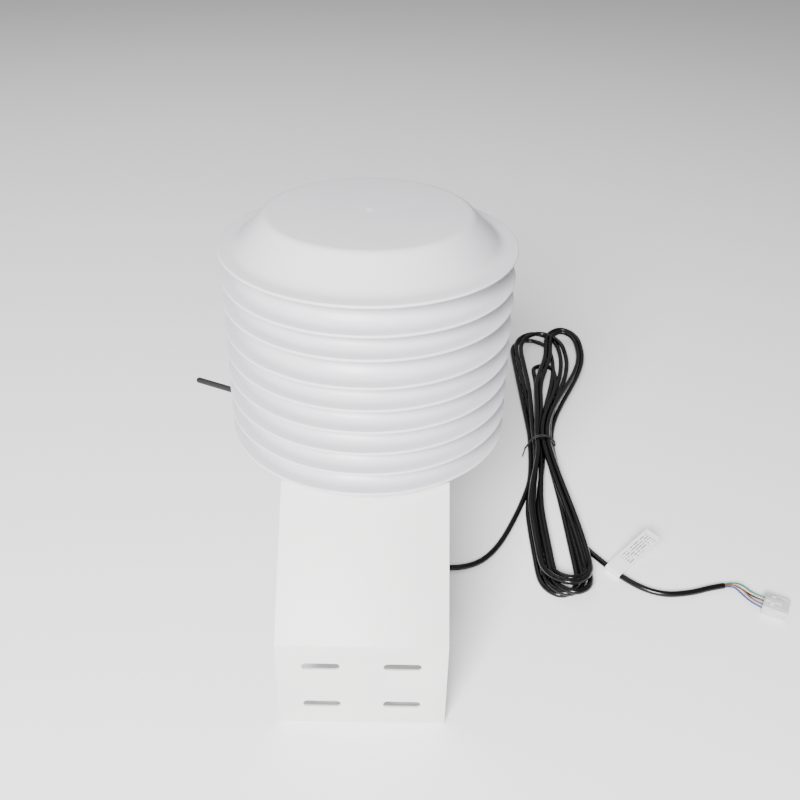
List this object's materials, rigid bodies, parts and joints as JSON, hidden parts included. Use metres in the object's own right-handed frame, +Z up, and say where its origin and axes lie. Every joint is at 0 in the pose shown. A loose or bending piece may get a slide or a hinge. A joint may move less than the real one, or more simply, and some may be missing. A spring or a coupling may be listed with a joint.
{
  "type": "louvred radiation shield weather sensor",
  "caption": "Louvred radiation shield with air sensor and radio transmitter on a bent pole bracket, with rod antenna and coiled signal cable.",
  "frame": {"origin": "centre of the four clamp slots on the outer face of the bracket's flange", "axes": "+Z up along the shield's axis, -Y out of the flange's outer face, +X to the right seen from the flange"},
  "size_m": [0.5302, 0.6482, 0.345],
  "materials": {
    "white_plastic": "satin moulded, softly glossy",
    "powder_white": "fine powder coat, satin",
    "zinc_steel": "satin zinc",
    "brass": "satin",
    "grey_plastic": "fine matt",
    "black_nylon": "fine matt",
    "black_rubber": "smooth matt",
    "cable_black": "smooth, half gloss",
    "circuit_green": "gloss solder mask",
    "chip_black": "matt",
    "terminal_green": "satin",
    "copper_film": "satin",
    "wire_green": "half gloss",
    "wire_black": "half gloss",
    "wire_brown": "half gloss",
    "wire_blue": "half gloss",
    "paper_white": "matt film",
    "plug_white": "natural nylon, half gloss",
    "sintered_steel": "grainy sintered"
  },
  "bodies": {
    "shield": {"cap": "white_plastic", "cap_inserts": "brass", "louver_plate_1": "white_plastic", "louver_plate_2": "white_plastic", "louver_plate_3": "white_plastic", "louver_plate_4": "white_plastic", "louver_plate_5": "white_plastic", "louver_plate_6": "white_plastic", "louver_plate_7": "white_plastic", "louver_plate_8": "white_plastic", "spacer_sleeves": "white_plastic", "tie_rods": "zinc_steel", "base_sleeves": "zinc_steel", "rod_washers": "zinc_steel", "rod_nuts": "zinc_steel", "bracket": "powder_white", "transmitter_case": "grey_plastic", "carrier_plate": "white_plastic", "case_screws": "zinc_steel", "case_lid": "grey_plastic", "lid_seal": "black_rubber", "lid_screws": "zinc_steel", "probe_tube": "black_nylon", "probe_nut": "black_nylon", "probe_filter": "sintered_steel", "probe_sensor": "circuit_green", "main_board": "circuit_green", "board_rails": "grey_plastic", "radio_module": "zinc_steel", "board_chips": "chip_black", "terminal_block": "terminal_green", "antenna_coax": "cable_black", "antenna_socket": "brass", "socket_nut": "brass", "gland_body": "black_nylon", "gland_seal": "black_rubber", "gland_locknut": "black_nylon", "gland_dome_nut": "black_nylon", "cable_entry": "cable_black", "inner_cores": "wire_brown", "cord_lead": "cable_black", "cord_tail": "cable_black", "cord_hank": "cable_black", "twist_tie": "black_nylon", "cord_label": "paper_white", "plug_housing": "plug_white", "plug_contacts": "copper_film", "wire_green": "wire_green", "wire_black": "wire_black", "wire_brown": "wire_brown", "wire_blue": "wire_blue"},
    "antenna": {"antenna_coupling": "black_nylon", "antenna_whip": "black_rubber"},
    "latch": {"plug_latch": "plug_white"}
  },
  "joints": [
    {"name": "antenna_turn", "type": "hinge", "parent": "shield", "child": "antenna", "pos_m": [-0.04045, 0.18973, 0.1145], "axis": [-0.8988, 0.4384, 0], "range_deg": [0, 360]},
    {"name": "latch_press", "type": "hinge", "parent": "shield", "child": "latch", "pos_m": [0.35618, 0.12621, -0.0294], "axis": [-0.4695, -0.8829, 0], "range_deg": [0, 8], "stiffness_Nm_per_rad": 0.02}
  ]
}
